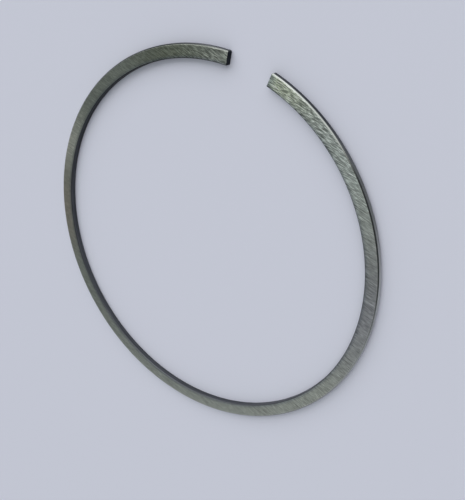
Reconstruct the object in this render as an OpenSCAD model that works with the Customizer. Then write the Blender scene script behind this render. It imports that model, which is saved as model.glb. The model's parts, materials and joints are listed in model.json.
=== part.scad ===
// Compression piston ring in its free, sprung-open state, lying on one side face.
// A bevelled, barrel-faced section runs round the axis from one square-cut end to the other.
// The origin is on the ring's axis, level with the lower side face, and the opening faces -Y.

/* [Cylinder] */
// Bore of the cylinder that the ring closes into
cylinder_bore = 86; // [60:0.5:120]
// Gap left between the ends when the ring is closed in that bore
closed_gap = 0.3; // [0.1:0.05:1]
// Gap between the ends of the free ring, along the middle of its radial thickness
free_gap = 10.7; // [5:0.1:16]

/* [Section] */
// Radial thickness, from the inner wall to the crest of the running face
radial_thickness = 3.1; // [2:0.1:5]
// Axial height, from one side face to the other
axial_height = 1.5; // [1.2:0.05:4]
// Width of the bevel between each side face and the running face
outer_bevel = 0.3; // [0.1:0.05:0.5]
// Width of the bevel between each side face and the inner wall
inner_bevel = 0.15; // [0.05:0.05:0.4]
// Radius of the barrel that crowns the running face
barrel_radius = 12; // [8:1:40]

/* [Ends] */
// Width of the bevel down the outer corner of each end
end_bevel = 0.2; // [0.1:0.05:0.4]

/* [Hidden] */
$fn = 180;
full_turn = 360;
ground_steel = [0.62, 0.64, 0.61];
// Direction of the opening, as an angle about Z
opening_direction = -90;

// The middle line of the section is as long in the free ring as in the closed one
middle_length = PI * (cylinder_bore - radial_thickness) - closed_gap;
// In the free ring that line and the gap together make a full circle
middle_circle = middle_length + free_gap;
middle_radius = middle_circle / (2 * PI);
inner_radius = middle_radius - radial_thickness / 2;
crest_radius = middle_radius + radial_thickness / 2;
ring_angle = full_turn * middle_length / middle_circle;
opening_angle = full_turn - ring_angle;

// Section of the ring, with its radius along X and its height along Y
module ring_section() {
    shoulder_radius = crest_radius - outer_bevel;
    half_height = axial_height / 2;
    intersection() {
        // Side faces and inner wall, with the outer bevels carried on until they meet
        polygon([
            [inner_radius, inner_bevel],
            [inner_radius + inner_bevel, 0],
            [shoulder_radius, 0],
            [shoulder_radius + half_height, half_height],
            [shoulder_radius, axial_height],
            [inner_radius + inner_bevel, axial_height],
            [inner_radius, axial_height - inner_bevel]
        ]);
        // Barrel of the running face, which cuts the bevels off at the crest
        translate([crest_radius - barrel_radius, half_height])
            circle(r = barrel_radius);
    }
}

// Tool that bevels the outer corner of an end, standing at the given angle about Z
module corner_cutter(angle) {
    rotate(angle)
        translate([crest_radius, 0, -end_bevel])
            linear_extrude(axial_height + 2 * end_bevel)
                circle(r = end_bevel, $fn = 4);
}

module piston_ring() {
    color(ground_steel)
        difference() {
            rotate_extrude(angle = ring_angle, start = opening_direction + opening_angle / 2)
                ring_section();
            for (side = [-1, 1])
                corner_cutter(opening_direction + side * opening_angle / 2);
        }
}

piston_ring();
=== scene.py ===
import json
import math

import bpy
from mathutils import Matrix, Vector


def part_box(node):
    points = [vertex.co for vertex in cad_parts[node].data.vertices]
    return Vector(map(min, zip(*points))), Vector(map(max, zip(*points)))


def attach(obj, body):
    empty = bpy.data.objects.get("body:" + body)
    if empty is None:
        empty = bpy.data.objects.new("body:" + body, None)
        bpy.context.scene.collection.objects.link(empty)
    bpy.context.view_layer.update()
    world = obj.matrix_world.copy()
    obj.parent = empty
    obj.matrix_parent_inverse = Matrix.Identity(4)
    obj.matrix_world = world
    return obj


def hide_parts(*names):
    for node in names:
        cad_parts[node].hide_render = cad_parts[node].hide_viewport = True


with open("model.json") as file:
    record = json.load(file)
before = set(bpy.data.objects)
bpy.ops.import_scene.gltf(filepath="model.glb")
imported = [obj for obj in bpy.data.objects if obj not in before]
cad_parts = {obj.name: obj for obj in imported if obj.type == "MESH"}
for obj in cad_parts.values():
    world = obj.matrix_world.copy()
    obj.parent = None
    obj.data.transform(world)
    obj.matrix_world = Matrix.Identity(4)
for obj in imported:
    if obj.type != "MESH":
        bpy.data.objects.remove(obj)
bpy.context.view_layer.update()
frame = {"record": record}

MM = 0.001
MOUNTS = {mount["name"]: mount for mount in frame["record"]["mounts"]}

# Ring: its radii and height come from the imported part, and these are the sizes that it doesn't list
FREE_GAP = 10.7 * MM
OUTER_BEVEL = 0.3 * MM
INNER_BEVEL = 0.15 * MM
BARREL_RADIUS = 12 * MM
END_BEVEL = 0.2 * MM
OPENING_DIRECTION = math.radians(-90)
# Softness of the edges, as tumbling leaves them
EDGE_ROUND = 0.06 * MM
# Softness of the two edges of each outer bevel, which the lap wears
BEVEL_ROUND = 0.25 * MM

# Fineness of the mesh: steps along the ring, round a softened edge and up the barrel
RING_STEPS = 900
ARC_STEPS = 3
BARREL_STEPS = 6
# Narrow strip on each side of a softened edge, which keeps the shading of the faces beside it flat
GUARD_WIDTH = 0.03 * MM
# Points closer together than this are welded
WELD_DISTANCE = 0.0001 * MM
# Share of the steps' spacing that is crowded towards the ends, where the small bevels are
END_CROWDING = 0.96
# Strips that the skin is cut into on its UV map, and the margin round each as a share of it
UV_STRIPS = 5
UV_MARGIN = 0.015

# Finish, with light painted into it. Places round the ring are in degrees from the opening, positive on the
# +X side, and lengths in mm.
# A ramp is the two values that it runs between, then what it gives at each, or 0 and 1 if it doesn't say.

# Grinding marks on the side faces: which way the passes of the wheel ran, in degrees about Z
GRIND_ANGLE = 174
SCRATCH_ANGLE = 184
# Widths and lengths of the marks. The real ones are about a tenth as wide, too fine to show.
STREAK_WIDTH = 0.21
STREAK_LENGTH = 1.4
HAIRLINE_WIDTH = 0.12
HAIRLINE_LENGTH = 3.0
SCRATCH_WIDTH = 0.22
SCRATCH_LENGTH = 5.0
# Noise that draws the marks: scale (1, as places are counted in widths), octaves and their roughness
GROUND_NOISE = (1.0, 3.0, 0.55)
# Ramps from that noise to the strength of each kind of mark
STREAK_STRENGTH = (0.45, 0.64, -0.3, 1.0)
HAIRLINE_STRENGTH = (0.25, 0.75, -0.5, 0.5)
SCRATCH_STRENGTH = (0.64, 0.72, 0.0, 0.5)
# Ramps of how strongly the marks show: most by the opening, and more on the -X side, all but at the back.
# The marks are real; their rise by the opening and on the -X side is painted glint.
GLINT_BY_OPENING = (65, 10, 0.42, 1.0)
GLINT_ON_SIDE = (38, 2)
GLINT_OFF_BACK = (165, 105, 0.0, 0.52)
LEAST_MARK_STRENGTH = 0.58
# Ramps from the marks to the shade and roughness that they give, and their depth as bump. The shade is
# partly the marks' own tone and partly painted glint, lifting the brightest streaks far above the plain
# colour.
MARK_SHADE_AND_GLINT = (-0.6, 1.8, 0.4, 2.9)
MARK_ROUGHNESS = (-0.6, 1.8, 0.28, 0.4)
MARK_DEPTH = 0.012 * MM

# Side faces: their plain colour, then soft changes round the ring as place, spread and colour, which are
# painted reflection: lighter and darker stretches in place of the light that the faces mirror
FACE_COLOUR = "#A0A39C"
PAINTED_REFLECTION_TINTS = [
    (-12, 16, "#C9CFB9"),
    (-37, 34, "#B9BEBA"),
    (-80, 36, "#939397"),
    (28, 22, "#888C7F"),
    (84, 20, "#D3D1C8"),
    (108, 24, "#B1A99F"),
    (-7, 3, "#9BA49F"),
]
# Margin along the inner wall, painted a little darker and bluer as painted shade and painted reflection of
# the bluish room
PAINTED_SHADE_MARGIN_WIDTH = 0.7
PAINTED_SHADE_MARGIN_STRENGTH = 0.6
PAINTED_SHADE_COLOUR = "#636974"

# Lines round the running face and the bevels, from lapping, and round the inner wall, from turning.
# They too are drawn coarser than real ones.
LAPPED_WIDTH = 0.16
TURNED_WIDTH = 0.22
LINE_LENGTH = 9.0
LINE_NOISE = (1.0, 2.0, 0.6)
LINE_SHADE = (0.3, 0.7, 0.7, 1.3)

# Outer bevels: painted highlight on the -X side but for one duller stretch, and painted shade on the +X side
# and at the back
BEVEL_PAINTED_HIGHLIGHT = "#939691"
BEVEL_PAINTED_SHADE = "#434643"
BEVEL_ROUGHNESS = 0.2
BEVEL_SHADE_ON_SIDE = (0, 24)
BEVEL_SHADE_STRETCH_START = (-23, -35, 0.0, 0.5)
BEVEL_SHADE_STRETCH_END = (-60, -74, 0.0, 0.45)
BEVEL_SHADE_AT_BACK = (110, 165)

# Running face: painted reflection, dark by the ends, then grey, then bright
RUNNING_PAINTED_DARK = "#46494C"
RUNNING_PAINTED_GREY = "#7F817E"
RUNNING_PAINTED_BRIGHT = "#BEC0BC"
RUNNING_ROUGHNESS = 0.3
RUNNING_GREY_FROM = (25, 45)
RUNNING_BRIGHT_FROM = (52, 68)

# Inner wall: painted dark as shade and reflection, and a little paler away from the ends
WALL_PAINTED_DARK = "#26282B"
WALL_PAINTED_PALER = "#595B5E"
WALL_ROUGHNESS = 0.5
PALE_FROM = (45, 115)

# Ends: painted nearly black as painted reflection of dark things, with saw marks down them, drawn coarse as
# well
END_PAINTED_DARK = "#20242B"
END_ROUGHNESS = 0.5
SAWN_ANGLE = 0
SAWN_WIDTH = 0.25
SAWN_LENGTH = 2.0
SAWN_SHADE = (0.35, 0.65, 0.7, 1.3)

# Ramps from the way that the skin faces to each surface: up or down, outward, or along the ring
FACE_FACING = (0.94, 0.98)
BEVEL_FACING = (0.94, 0.86)
RUNNING_FACING = (0.86, 0.94)
WALL_FACING = (-0.2, -0.5)
END_FACING = (0.5, 0.8)

# Room, which the steel mirrors: its colour at eye level and overhead, and the ramp between them
# by the sine of the elevation
EYE_LEVEL_COLOUR = "#DADCE5"
CEILING_COLOUR = "#C5CAC9"
CEILING_RISE = (0.34, 0.79)
# Dim parts of the room: azimuth and elevation, then how far off they start and end, all in degrees,
# then their colour
DIM_PARTS = [
    (195, 25, 53, 18, "#6A6C72"),
    (32, 42, 32, 14, "#79807D"),
]
# Window: its place in degrees and metres, its size in metres, and its brightness, where 1 is white
WINDOW_AZIMUTH = -68
WINDOW_ELEVATION = 35
WINDOW_DISTANCE = 9.0
WINDOW_WIDTH = 20.0
WINDOW_HEIGHT = 8.0
WINDOW_BRIGHTNESS = 1.1
# Power of an area lamp, in watts for each square metre, at which its brightness is 1
WHITE_POWER = 4

# Floor: how far it runs each way, in metres, and how far below the ring it lies
FLOOR_REACH = 60.0
FLOOR_DROP = 0.02 * MM
FLOOR_COLOUR = "#DDDEEA"

# Camera: its place, the point of the upper face on its axis, and its turn about that axis
CAMERA_PLACE = Vector((-71.43, -91.31, 125.79)) * MM
CAMERA_AIM = Vector((-8.74, -3.32, 1.5)) * MM
CAMERA_ROLL = math.radians(-119.43)
CAMERA_LENS = 52.98
CAMERA_CLIP = 10 * MM

inner_radius = MOUNTS["inner_wall"]["dims"]["r_mm"] * MM
crest_radius = MOUNTS["running_face"]["dims"]["r_mm"] * MM
ring_low, ring_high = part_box("piston_ring")
half_height = (ring_high.z - ring_low.z) / 2
half_thickness = (crest_radius - inner_radius) / 2
middle_radius = (crest_radius + inner_radius) / 2
opening_angle = FREE_GAP / middle_radius
ring_angle = 2 * math.pi - opening_angle


def linear(hex_colour):
    """An sRGB hex value as the linear colour that nodes take."""
    parts = [int(hex_colour[i:i + 2], 16) / 255 for i in (1, 3, 5)]
    return [p / 12.92 if p <= 0.04045 else ((p + 0.055) / 1.055) ** 2.4 for p in parts] + [1.0]


def result(node):
    """The first output that a node shows."""
    return next(output for output in node.outputs if output.enabled)


def add(tree, kind, *inputs, **settings):
    """Adds a node with its settings, then sets or links its shown inputs in order. None leaves one alone."""
    node = tree.nodes.new(kind)
    for name, value in settings.items():
        setattr(node, name, value)
    shown = [socket for socket in node.inputs if socket.enabled]
    for socket, value in zip(shown, inputs):
        if isinstance(value, bpy.types.Node):
            value = result(value)
        if isinstance(value, bpy.types.NodeSocket):
            tree.links.new(value, socket)
        elif value is not None:
            socket.default_value = value
    return node


# Section of the ring


def barrel_points():
    """Points up the crowned running face, from one outer bevel to the other."""
    centre = half_thickness - BARREL_RADIUS
    # How far the 45 degree bevel runs before it meets the barrel
    lean = half_thickness - OUTER_BEVEL - centre - half_height
    rest = (half_thickness - OUTER_BEVEL - centre) ** 2 + half_height ** 2 - BARREL_RADIUS ** 2
    run = (math.sqrt(lean ** 2 - 2 * rest) - lean) / 2
    tilt = math.asin((half_height - run) / BARREL_RADIUS)
    angles = [tilt * (2 * i / BARREL_STEPS - 1) for i in range(BARREL_STEPS + 1)]
    return [Vector((centre + BARREL_RADIUS * math.cos(a), BARREL_RADIUS * math.sin(a))) for a in angles]


def softened(corners):
    """The closed outline, with each corner that has a radius made a short arc between two guard points."""
    points = []
    for i, (corner, radius) in enumerate(corners):
        if not radius:
            points.append(corner)
            continue
        way_in = (corner - corners[i - 1][0]).normalized()
        way_out = (corners[(i + 1) % len(corners)][0] - corner).normalized()
        turn = math.atan2(way_in.cross(way_out), way_in.dot(way_out))
        setback = radius * math.tan(turn / 2)
        outward = Vector((way_in.y, -way_in.x)) * radius
        centre = corner - way_in * setback - outward
        points.append(corner - way_in * (setback + GUARD_WIDTH))
        for step in range(ARC_STEPS + 1):
            points.append(centre + Matrix.Rotation(turn * step / ARC_STEPS, 2) @ outward)
        points.append(corner + way_out * (setback + GUARD_WIDTH))
    return points


def ring_section():
    """Mesh of the section's outline in the XZ plane, from the middle of the inner wall round to it again."""
    face_end = half_thickness - OUTER_BEVEL
    face_start = INNER_BEVEL - half_thickness
    wall_end = half_height - INNER_BEVEL
    barrel = barrel_points()
    outline = softened([
        (Vector((-half_thickness, 0)), 0),
        (Vector((-half_thickness, -wall_end)), EDGE_ROUND),
        (Vector((face_start, -half_height)), EDGE_ROUND),
        (Vector((face_end, -half_height)), BEVEL_ROUND),
        (barrel[0], BEVEL_ROUND),
        *((point, 0) for point in barrel[1:-1]),
        (barrel[-1], BEVEL_ROUND),
        (Vector((face_end, half_height)), BEVEL_ROUND),
        (Vector((face_start, half_height)), EDGE_ROUND),
        (Vector((-half_thickness, wall_end)), EDGE_ROUND),
    ])
    outline.append(outline[0])
    lengths = [0.0]
    for before, after in zip(outline, outline[1:]):
        lengths.append(lengths[-1] + (after - before).length)
    mesh = bpy.data.meshes.new("ring section")
    edges = [(i, i + 1) for i in range(len(outline) - 1)]
    mesh.from_pydata([(point.x, 0, point.y) for point in outline], edges, [])
    around = mesh.attributes.new("around", "FLOAT", "POINT")
    around.data.foreach_set("value", [length / lengths[-1] for length in lengths])
    return mesh


# Sweep of the section round the ring


def column_place(tree, given, column):
    """Share of the way along the ring of a column of the skin, and its step past the end, if it has one."""
    # The first and last columns are the middles of the end faces. Those between count from 0 to Steps - 3.
    place = add(tree, "ShaderNodeMath", column, 1.0, operation="SUBTRACT")
    last = add(tree, "ShaderNodeMath", given["Steps"], 3.0, operation="SUBTRACT")
    held = add(tree, "ShaderNodeClamp", place, 0.0, last)
    past_end = add(tree, "ShaderNodeMath", place, held, operation="SUBTRACT")
    even = add(tree, "ShaderNodeMath", held, last, operation="DIVIDE")
    eased = add(tree, "ShaderNodeMapRange", even, interpolation_type="SMOOTHSTEP")
    share = add(tree, "ShaderNodeMix", given["End Crowding"], even, eased)
    return share, past_end


def shaped_for_end(tree, given, outline, widest, to_end, past_end):
    """How far out and how high a point of the section lies, which changes at the ends of the ring."""
    # The section draws in over the rounded rim of the end
    rim = given["End Round"]
    lack = add(tree, "ShaderNodeMath", rim, to_end, operation="SUBTRACT", use_clamp=True)
    lack_square = add(tree, "ShaderNodeMath", lack, lack, operation="MULTIPLY")
    rim_square = add(tree, "ShaderNodeMath", rim, rim, operation="MULTIPLY")
    rise_square = add(tree, "ShaderNodeMath", rim_square, lack_square, operation="SUBTRACT")
    rise = add(tree, "ShaderNodeMath", rise_square, operation="SQRT")
    inset = add(tree, "ShaderNodeMath", rim, rise, operation="SUBTRACT")
    squeeze = add(tree, "ShaderNodeVectorMath", inset, widest, operation="DIVIDE")
    taken = add(tree, "ShaderNodeVectorMath", outline, squeeze, operation="MULTIPLY")
    drawn_in = add(tree, "ShaderNodeVectorMath", outline, taken, operation="SUBTRACT")

    # It shrinks to a point in the middle of the end
    lost = add(tree, "ShaderNodeMath", past_end, operation="ABSOLUTE")
    kept = add(tree, "ShaderNodeMath", 1.0, lost, operation="SUBTRACT")
    shrunk = add(tree, "ShaderNodeVectorMath", drawn_in, kept, operation="SCALE")
    parts = add(tree, "ShaderNodeSeparateXYZ", shrunk)

    # A 45 degree bevel takes off the outer corner
    cut = add(tree, "ShaderNodeMath", given["End Bevel"], to_end, operation="SUBTRACT", use_clamp=True)
    reach = add(tree, "ShaderNodeSeparateXYZ", widest)
    room = add(tree, "ShaderNodeMath", reach, cut, operation="SUBTRACT")
    out = add(tree, "ShaderNodeMath", parts.outputs["X"], room, operation="MINIMUM")
    return out, parts.outputs["Z"]


def unrolled_map(tree, swept, strip_place, around):
    """The skin with its UV map: unrolled, and cut into strips that are stacked one above the other."""
    unrolled = add(tree, "ShaderNodeCombineXYZ", strip_place, around, 0.0)
    noted = add(tree, "GeometryNodeCaptureAttribute", swept, domain="POINT")
    noted.capture_items.new("VECTOR", "Unrolled")
    tree.links.new(result(unrolled), noted.inputs["Unrolled"])
    spread = noted.outputs["Unrolled"]
    parts = add(tree, "ShaderNodeSeparateXYZ", spread)
    face_place = add(
        tree, "GeometryNodeFieldOnDomain", parts.outputs["X"], domain="FACE", data_type="FLOAT"
    )
    strip = add(tree, "ShaderNodeMath", face_place, operation="FLOOR")
    strip_start = add(tree, "ShaderNodeCombineXYZ", strip, 0.0, 0.0)
    within = add(tree, "ShaderNodeVectorMath", spread, strip_start, operation="SUBTRACT")
    inner_share = 1 - 2 * UV_MARGIN
    fitted = add(
        tree, "ShaderNodeVectorMath", within, (inner_share,) * 3, (UV_MARGIN,) * 3, operation="MULTIPLY_ADD"
    )
    level = add(tree, "ShaderNodeCombineXYZ", 0.0, strip, 0.0)
    stacked = add(tree, "ShaderNodeVectorMath", fitted, level, operation="ADD")
    uv = add(tree, "ShaderNodeVectorMath", stacked, (1.0, 1 / UV_STRIPS, 1.0), operation="MULTIPLY")
    return add(
        tree, "GeometryNodeStoreNamedAttribute", noted, None, "OFBake", uv,
        data_type="FLOAT2", domain="CORNER",
    )


def split_ring_tree():
    """Geometry nodes that sweep a section round Z from one end of the ring to the other and close them."""
    tree = bpy.data.node_groups.new("Split ring", "GeometryNodeTree")
    sockets = {
        "Section": "NodeSocketGeometry",
        "Middle Radius": "NodeSocketFloat",
        "Half Height": "NodeSocketFloat",
        "Start Angle": "NodeSocketFloat",
        "Ring Angle": "NodeSocketFloat",
        "End Bevel": "NodeSocketFloat",
        "End Round": "NodeSocketFloat",
        "End Crowding": "NodeSocketFloat",
        "Steps": "NodeSocketInt",
        "Material": "NodeSocketMaterial",
    }
    for name, kind in sockets.items():
        tree.interface.new_socket(name, in_out="INPUT", socket_type=kind)
    tree.interface.new_socket("Ring", in_out="OUTPUT", socket_type="NodeSocketGeometry")
    given = add(tree, "NodeGroupInput").outputs
    section = given["Section"]

    # A flat skin with a row for each point of the section and a column for each step along the ring
    rows = add(tree, "GeometryNodeAttributeDomainSize", section).outputs["Point Count"]
    skin = add(tree, "GeometryNodeMeshGrid", 1.0, 1.0, given["Steps"], rows)
    index = add(tree, "GeometryNodeInputIndex")
    column = add(tree, "FunctionNodeIntegerMath", index, rows, operation="DIVIDE_FLOOR")
    row = add(tree, "FunctionNodeIntegerMath", index, rows, operation="MODULO")

    # Distance from the nearer end, along the middle of the section
    share, past_end = column_place(tree, given, column)
    length = add(tree, "ShaderNodeMath", given["Ring Angle"], given["Middle Radius"], operation="MULTIPLY")
    other_share = add(tree, "ShaderNodeMath", 1.0, share, operation="SUBTRACT")
    nearer = add(tree, "ShaderNodeMath", share, other_share, operation="MINIMUM")
    to_end = add(tree, "ShaderNodeMath", nearer, length, operation="MULTIPLY")

    # Each point of the section turned to its place on the ring
    widest = add(tree, "GeometryNodeBoundBox", section).outputs["Max"]
    section_place = add(tree, "GeometryNodeInputPosition")
    outline = add(tree, "GeometryNodeSampleIndex", section, section_place, row, data_type="FLOAT_VECTOR")
    out, up = shaped_for_end(tree, given, outline, widest, to_end, past_end)
    radius = add(tree, "ShaderNodeMath", given["Middle Radius"], out, operation="ADD")
    height = add(tree, "ShaderNodeMath", given["Half Height"], up, operation="ADD")
    spoke = add(tree, "ShaderNodeCombineXYZ", radius, 0.0, height)
    angle = add(
        tree, "ShaderNodeMath", share, given["Ring Angle"], given["Start Angle"], operation="MULTIPLY_ADD"
    )
    turned = add(tree, "ShaderNodeVectorRotate", spoke, None, angle, rotation_type="Z_AXIS")
    swept = add(tree, "GeometryNodeSetPosition", skin, None, turned)

    # Its place on the unrolled skin: along the ring in strips, end faces included, and round the section
    end_width = add(tree, "ShaderNodeSeparateXYZ", widest)
    past = add(tree, "ShaderNodeMath", past_end, end_width, operation="MULTIPLY")
    along = add(tree, "ShaderNodeMath", share, length, past, operation="MULTIPLY_ADD")
    far_end = add(tree, "ShaderNodeMath", length, end_width, operation="ADD")
    near_end = add(tree, "ShaderNodeMath", end_width, -1.0, operation="MULTIPLY")
    strip_place = add(
        tree, "ShaderNodeMapRange", along, near_end, far_end, 0.0, float(UV_STRIPS), clamp=False
    )
    around_name = add(tree, "GeometryNodeInputNamedAttribute", "around", data_type="FLOAT")
    around = add(tree, "GeometryNodeSampleIndex", section, around_name, row, data_type="FLOAT")
    mapped = unrolled_map(tree, swept, strip_place, around)

    # Seam and end middles welded, then finished
    welded = add(tree, "GeometryNodeMergeByDistance", mapped, None, WELD_DISTANCE)
    smooth = add(tree, "GeometryNodeSetShadeSmooth", welded, None, True)
    realized = add(tree, "GeometryNodeRealizeInstances", smooth)
    painted = add(tree, "GeometryNodeSetMaterial", realized, None, given["Material"])
    add(tree, "NodeGroupOutput", painted)
    return tree


def swept_ring(name, material):
    """The ring as a plain mesh object, swept from its section."""
    section = ring_section()
    ring = bpy.data.objects.new(name, section)
    bpy.context.scene.collection.objects.link(ring)
    tree = split_ring_tree()
    modifier = ring.modifiers.new("Split ring", "NODES")
    modifier.node_group = tree
    sizes = {
        "Middle Radius": middle_radius,
        "Half Height": half_height,
        "Start Angle": OPENING_DIRECTION + opening_angle / 2,
        "Ring Angle": ring_angle,
        "End Bevel": END_BEVEL,
        "End Round": EDGE_ROUND,
        "End Crowding": END_CROWDING,
        "Steps": RING_STEPS,
        "Material": material,
    }
    for item in tree.interface.items_tree:
        if item.in_out == "INPUT" and item.name in sizes:
            modifier[item.identifier] = sizes[item.name]
    depsgraph = bpy.context.evaluated_depsgraph_get()
    mesh = bpy.data.meshes.new_from_object(ring.evaluated_get(depsgraph))
    ring.modifiers.clear()
    ring.data = mesh
    bpy.data.meshes.remove(section)
    return ring


# Ground steel


def ring_spot(tree):
    """Where a point lies on the ring, in mm and degrees, and which way its surface faces."""
    coordinates = add(tree, "ShaderNodeTexCoord")
    normal = coordinates.outputs["Normal"]
    in_metres = coordinates.outputs["Object"]
    place = add(tree, "ShaderNodeVectorMath", in_metres, (1 / MM,) * 3, operation="MULTIPLY")
    parts = add(tree, "ShaderNodeSeparateXYZ", place)
    flat = add(tree, "ShaderNodeVectorMath", place, (1.0, 1.0, 0.0), operation="MULTIPLY")
    outward = add(tree, "ShaderNodeVectorMath", flat, operation="NORMALIZE")
    sideways = add(tree, "ShaderNodeVectorMath", (0.0, 0.0, 1.0), outward, operation="CROSS_PRODUCT")
    normal_parts = add(tree, "ShaderNodeSeparateXYZ", normal)
    along = add(tree, "ShaderNodeVectorMath", normal, sideways, operation="DOT_PRODUCT")
    # Angle from the opening, positive on the +X side
    southward = add(tree, "ShaderNodeMath", parts.outputs["Y"], -1.0, operation="MULTIPLY")
    turn = add(tree, "ShaderNodeMath", parts.outputs["X"], southward, operation="ARCTAN2")
    bearing = add(tree, "ShaderNodeMath", turn, operation="DEGREES")
    return {
        "place": place,
        "outward": outward,
        "reach": add(tree, "ShaderNodeVectorMath", flat, operation="LENGTH"),
        "level": parts.outputs["Z"],
        "bearing": bearing,
        "from opening": add(tree, "ShaderNodeMath", bearing, operation="ABSOLUTE"),
        "facing up": add(tree, "ShaderNodeMath", normal_parts.outputs["Z"], operation="ABSOLUTE"),
        "facing out": add(tree, "ShaderNodeVectorMath", normal, outward, operation="DOT_PRODUCT"),
        "facing along": add(tree, "ShaderNodeMath", along, operation="ABSOLUTE"),
    }


def ground_lines(tree, spot, angle, width, length):
    """Noise drawn out along straight lines, as the passes of a wheel or a saw leave it."""
    turned = add(
        tree, "ShaderNodeVectorRotate", spot["place"], None, math.radians(-angle), rotation_type="Z_AXIS"
    )
    stretch = (1 / length, 1 / width, 1 / length)
    stretched = add(tree, "ShaderNodeVectorMath", turned, stretch, operation="MULTIPLY")
    return add(tree, "ShaderNodeTexNoise", stretched, *GROUND_NOISE)


def round_lines(tree, spot, width):
    """Shade of lines drawn out along the ring, as lapping or turning leaves them."""
    across = add(tree, "ShaderNodeMath", spot["level"], width, operation="DIVIDE")
    raised = add(tree, "ShaderNodeCombineXYZ", 0.0, 0.0, across)
    lengths = middle_radius / MM / LINE_LENGTH
    stretch = (lengths, lengths, 0.0)
    stretched = add(
        tree, "ShaderNodeVectorMath", spot["outward"], stretch, raised, operation="MULTIPLY_ADD"
    )
    lines = add(tree, "ShaderNodeTexNoise", stretched, *LINE_NOISE)
    return add(tree, "ShaderNodeMapRange", lines, *LINE_SHADE)


def grinding_marks(tree, spot):
    """Strength of the marks on a side face: streaks and a few long scratches over fine lines, with painted
    glint.
    """
    streaks = ground_lines(tree, spot, GRIND_ANGLE, STREAK_WIDTH, STREAK_LENGTH)
    hairlines = ground_lines(tree, spot, GRIND_ANGLE, HAIRLINE_WIDTH, HAIRLINE_LENGTH)
    scratches = ground_lines(tree, spot, SCRATCH_ANGLE, SCRATCH_WIDTH, SCRATCH_LENGTH)
    streaked = add(tree, "ShaderNodeMapRange", streaks, *STREAK_STRENGTH)
    lined = add(tree, "ShaderNodeMapRange", hairlines, *HAIRLINE_STRENGTH, clamp=False)
    scratched = add(tree, "ShaderNodeMapRange", scratches, *SCRATCH_STRENGTH)
    # Painted glint: the marks grow stronger by the opening and on the -X side
    by_opening = add(
        tree, "ShaderNodeMapRange", spot["from opening"], *GLINT_BY_OPENING, interpolation_type="SMOOTHSTEP"
    )
    on_side = add(
        tree, "ShaderNodeMapRange", spot["bearing"], *GLINT_ON_SIDE, interpolation_type="SMOOTHSTEP"
    )
    off_back = add(tree, "ShaderNodeMapRange", spot["from opening"], *GLINT_OFF_BACK)
    by_side = add(tree, "ShaderNodeMath", on_side, off_back, LEAST_MARK_STRENGTH, operation="MULTIPLY_ADD")
    marks = add(tree, "ShaderNodeMath", streaked, by_opening, lined, operation="MULTIPLY_ADD")
    all_marks = add(tree, "ShaderNodeMath", marks, scratched, operation="ADD")
    return add(tree, "ShaderNodeMath", all_marks, by_side, operation="MULTIPLY")


def ground_face(tree, spot, marks):
    """Colour of a side face, with painted reflection round the ring and painted shade by the inner wall, and
    its marks' shade.
    """
    colour = linear(FACE_COLOUR)
    # Painted reflection: each stretch of the face is lightened or darkened to stand in for the light it
    # mirrors
    for middle, spread, reflection_tint in PAINTED_REFLECTION_TINTS:
        aside = add(tree, "ShaderNodeMath", spot["bearing"], middle, operation="SUBTRACT")
        distance = add(tree, "ShaderNodeMath", aside, operation="ABSOLUTE")
        amount = add(tree, "ShaderNodeMapRange", distance, spread, 0.0, interpolation_type="SMOOTHSTEP")
        colour = add(tree, "ShaderNodeMix", amount, colour, linear(reflection_tint), data_type="RGBA")
    wall_edge = (inner_radius + INNER_BEVEL) / MM
    shade_edge = wall_edge + PAINTED_SHADE_MARGIN_WIDTH
    # Painted shade: the face darkens and turns bluer towards the inner wall
    shade_by_wall = add(tree, "ShaderNodeMapRange", spot["reach"], shade_edge, wall_edge, 0.0, PAINTED_SHADE_MARGIN_STRENGTH)
    margin_shaded = add(tree, "ShaderNodeMix", shade_by_wall, colour, linear(PAINTED_SHADE_COLOUR), data_type="RGBA")
    return margin_shaded, add(tree, "ShaderNodeMapRange", marks, *MARK_SHADE_AND_GLINT)


def bevel_with_painted_light(tree, spot):
    """Colour and shade of the outer bevels: painted highlight on most of the -X side, and painted shade
    elsewhere.
    """
    on_side = add(tree, "ShaderNodeMapRange", spot["bearing"], *BEVEL_SHADE_ON_SIDE)
    started = add(tree, "ShaderNodeMapRange", spot["bearing"], *BEVEL_SHADE_STRETCH_START)
    ended = add(tree, "ShaderNodeMapRange", spot["bearing"], *BEVEL_SHADE_STRETCH_END)
    stretch = add(tree, "ShaderNodeMath", started, ended, operation="SUBTRACT")
    at_back = add(tree, "ShaderNodeMapRange", spot["from opening"], *BEVEL_SHADE_AT_BACK)
    on_sides = add(tree, "ShaderNodeMath", on_side, stretch, operation="MAXIMUM")
    dull = add(tree, "ShaderNodeMath", on_sides, at_back, operation="MAXIMUM")
    # Painted light: the bevels run from painted highlight to painted shade round the ring
    colour = add(tree, "ShaderNodeMix", dull, linear(BEVEL_PAINTED_HIGHLIGHT), linear(BEVEL_PAINTED_SHADE), data_type="RGBA")
    return colour, round_lines(tree, spot, LAPPED_WIDTH)


def lapped_face_with_painted_reflection(tree, spot):
    """Colour and shade of the running face: smooth, with painted reflection that is dark by the ends and
    brighter further round.
    """
    grey_amount = add(tree, "ShaderNodeMapRange", spot["from opening"], *RUNNING_GREY_FROM)
    bright = add(tree, "ShaderNodeMapRange", spot["from opening"], *RUNNING_BRIGHT_FROM)
    # Painted reflection: dark by the ends, grey, then bright further round
    grey = add(
        tree, "ShaderNodeMix", grey_amount, linear(RUNNING_PAINTED_DARK), linear(RUNNING_PAINTED_GREY), data_type="RGBA"
    )
    colour = add(tree, "ShaderNodeMix", bright, grey, linear(RUNNING_PAINTED_BRIGHT), data_type="RGBA")
    return colour, round_lines(tree, spot, LAPPED_WIDTH)


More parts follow.
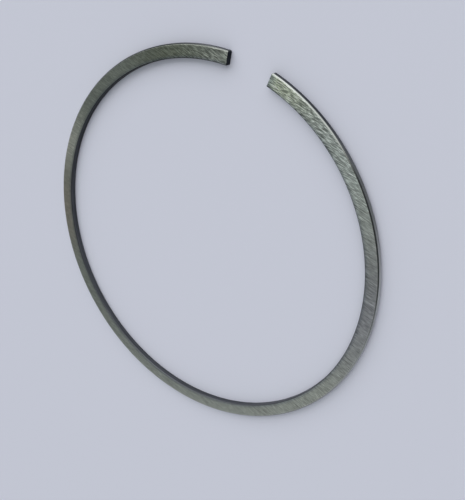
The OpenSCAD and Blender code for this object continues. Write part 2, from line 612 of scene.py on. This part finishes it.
def turned_wall_painted_dark(tree, spot):
    """Colour and shade of the inner wall: turned, and painted dark as shade, a little paler away from the
    ends.
    """
    paler = add(tree, "ShaderNodeMapRange", spot["from opening"], *PALE_FROM)
    # Painted shade: the wall is darkened, less so away from the ends
    colour = add(tree, "ShaderNodeMix", paler, linear(WALL_PAINTED_DARK), linear(WALL_PAINTED_PALER), data_type="RGBA")
    return colour, round_lines(tree, spot, TURNED_WIDTH)


def sawn_end_painted_dark(tree, spot):
    """Colour and shade of the ends: cut square and painted nearly black as painted reflection, with the
    marks of the saw.
    """
    marks = ground_lines(tree, spot, SAWN_ANGLE, SAWN_WIDTH, SAWN_LENGTH)
    # Painted reflection: the ends are darkened nearly to black
    return linear(END_PAINTED_DARK), add(tree, "ShaderNodeMapRange", marks, *SAWN_SHADE)


def ground_steel():
    """Ground steel, with the finish that each surface of the ring is left with, and the light painted into
    it.
    """
    # It mirrors the room softly, and the marks of the wheel break the reflection into bright streaks, which
    # are also painted into its colour as glint
    material = bpy.data.materials.new("ground steel")
    material.use_nodes = True
    tree = material.node_tree
    shader = tree.nodes["Principled BSDF"]
    spot = ring_spot(tree)
    marks = grinding_marks(tree, spot)
    face_colour, face_shade = ground_face(tree, spot, marks)
    colour = add(
        tree, "ShaderNodeMix", 1.0, face_colour, face_shade, data_type="RGBA", blend_type="MULTIPLY"
    )
    roughness = add(tree, "ShaderNodeMapRange", marks, *MARK_ROUGHNESS)
    # The other surfaces, each laid over the side faces' finish by the way it faces
    surfaces = [
        (bevel_with_painted_light, "facing up", BEVEL_FACING, BEVEL_ROUGHNESS),
        (lapped_face_with_painted_reflection, "facing out", RUNNING_FACING, RUNNING_ROUGHNESS),
        (turned_wall_painted_dark, "facing out", WALL_FACING, WALL_ROUGHNESS),
        (sawn_end_painted_dark, "facing along", END_FACING, END_ROUGHNESS),
    ]
    for finish, way, facing, own_roughness in surfaces:
        amount = add(tree, "ShaderNodeMapRange", spot[way], *facing)
        plain, shade = finish(tree, spot)
        shaded = add(tree, "ShaderNodeMix", 1.0, plain, shade, data_type="RGBA", blend_type="MULTIPLY")
        colour = add(tree, "ShaderNodeMix", amount, colour, shaded, data_type="RGBA")
        roughness = add(tree, "ShaderNodeMix", amount, roughness, own_roughness)
    on_face = add(tree, "ShaderNodeMapRange", spot["facing up"], *FACE_FACING)
    bump = add(tree, "ShaderNodeBump", on_face, MARK_DEPTH)
    tree.links.new(result(marks), bump.inputs["Height"])
    tree.links.new(result(colour), shader.inputs["Base Color"])
    tree.links.new(result(roughness), shader.inputs["Roughness"])
    tree.links.new(result(bump), shader.inputs["Normal"])
    shader.inputs["Metallic"].default_value = 1.0
    return material


# Stage


def matt_paint():
    """Matt paint for the floor."""
    # It is pale and even, and has no shine
    material = bpy.data.materials.new("matt paint")
    material.use_nodes = True
    shader = material.node_tree.nodes["Principled BSDF"]
    shader.inputs["Base Color"].default_value = linear(FLOOR_COLOUR)
    shader.inputs["Roughness"].default_value = 1.0
    shader.inputs["Specular IOR Level"].default_value = 0.0
    return material


def pale_floor():
    """A plain pale floor under the ring."""
    mesh = bpy.data.meshes.new("floor")
    signs = [(-1, -1), (1, -1), (1, 1), (-1, 1)]
    corners = [(x * FLOOR_REACH, y * FLOOR_REACH, -FLOOR_DROP) for x, y in signs]
    mesh.from_pydata(corners, [], [(0, 1, 2, 3)])
    mesh.materials.append(matt_paint())
    floor = bpy.data.objects.new("floor", mesh)
    bpy.context.scene.collection.objects.link(floor)


def aimed(azimuth, elevation):
    """The direction from the ring at an azimuth and elevation in degrees."""
    turn = math.radians(azimuth)
    rise = math.radians(elevation)
    return Vector((math.cos(rise) * math.cos(turn), math.cos(rise) * math.sin(turn), math.sin(rise)))


def room_light():
    """A room that is pale at eye level and a little dimmer overhead, with two dim parts."""
    world = bpy.data.worlds.new("room")
    world.use_nodes = True
    tree = world.node_tree
    direction = add(tree, "ShaderNodeTexCoord").outputs["Generated"]
    parts = add(tree, "ShaderNodeSeparateXYZ", direction)
    rise = add(
        tree, "ShaderNodeMapRange", parts.outputs["Z"], *CEILING_RISE, interpolation_type="SMOOTHSTEP"
    )
    room = add(
        tree, "ShaderNodeMix", rise, linear(EYE_LEVEL_COLOUR), linear(CEILING_COLOUR), data_type="RGBA"
    )
    for azimuth, elevation, start, end, colour in DIM_PARTS:
        towards = add(
            tree, "ShaderNodeVectorMath", direction, aimed(azimuth, elevation), operation="DOT_PRODUCT"
        )
        limits = (math.cos(math.radians(start)), math.cos(math.radians(end)))
        dimness = add(tree, "ShaderNodeMapRange", towards, *limits, interpolation_type="SMOOTHSTEP")
        room = add(tree, "ShaderNodeMix", dimness, room, linear(colour), data_type="RGBA")
    tree.links.new(result(room), tree.nodes["Background"].inputs["Color"])
    bpy.context.scene.world = world


def window_light():
    """A wide soft window that faces the ring."""
    direction = aimed(WINDOW_AZIMUTH, WINDOW_ELEVATION)
    lamp = bpy.data.lights.new("window", "AREA")
    lamp.shape = "RECTANGLE"
    lamp.size = WINDOW_WIDTH
    lamp.size_y = WINDOW_HEIGHT
    lamp.energy = WHITE_POWER * WINDOW_BRIGHTNESS * WINDOW_WIDTH * WINDOW_HEIGHT
    holder = bpy.data.objects.new("window", lamp)
    bpy.context.scene.collection.objects.link(holder)
    holder.location = direction * WINDOW_DISTANCE
    holder.rotation_mode = "QUATERNION"
    holder.rotation_quaternion = direction.to_track_quat("Z", "Y")


def camera():
    """The camera at the photograph's viewing angle, rolled so that the opening is at the top."""
    forward = (CAMERA_AIM - CAMERA_PLACE).normalized()
    level = forward.cross(Vector((0, 0, 1))).normalized()
    upright = level.cross(forward)
    right = math.cos(CAMERA_ROLL) * level + math.sin(CAMERA_ROLL) * upright
    up = math.cos(CAMERA_ROLL) * upright - math.sin(CAMERA_ROLL) * level
    data = bpy.data.cameras.new("camera")
    data.lens = CAMERA_LENS
    data.clip_start = CAMERA_CLIP
    holder = bpy.data.objects.new("camera", data)
    bpy.context.scene.collection.objects.link(holder)
    turned = Matrix((right, up, -forward)).transposed().to_4x4()
    holder.matrix_world = Matrix.Translation(CAMERA_PLACE) @ turned
    bpy.context.scene.camera = holder


bpy.context.scene.view_settings.view_transform = "Standard"
camera()
room_light()
window_light()
pale_floor()

ring = swept_ring("split_ring", ground_steel())
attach(ring, "root")
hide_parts("piston_ring")
